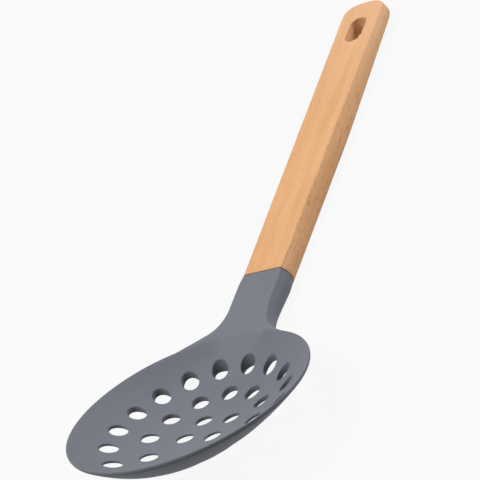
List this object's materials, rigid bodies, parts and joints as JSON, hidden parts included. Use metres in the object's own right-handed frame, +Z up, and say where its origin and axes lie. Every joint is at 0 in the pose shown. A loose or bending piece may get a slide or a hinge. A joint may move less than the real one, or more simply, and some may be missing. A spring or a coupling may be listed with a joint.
{
  "type": "skimmer",
  "caption": "Perforated round nylon skimmer bowl on a filleted neck, glued by a tang into a flat-topped beech handle with a hanging slot.",
  "frame": {"origin": "centre of the underside of the skimmer's box, on the surface that it lies on", "axes": "+X along the handle from the bowl to the hanging end, +Z up, square to the handle's flat top, and the XZ plane is the plane of symmetry"},
  "size_m": [0.337, 0.1008, 0.035],
  "materials": {
    "nylon": "matte slate-grey moulded nylon",
    "beech": "sanded and lightly oiled beech",
    "glue": "cured amber glue"
  },
  "bodies": {
    "root": {"skimmer_head": "nylon", "handle": "beech", "tang_adhesive": "glue"}
  },
  "joints": []
}
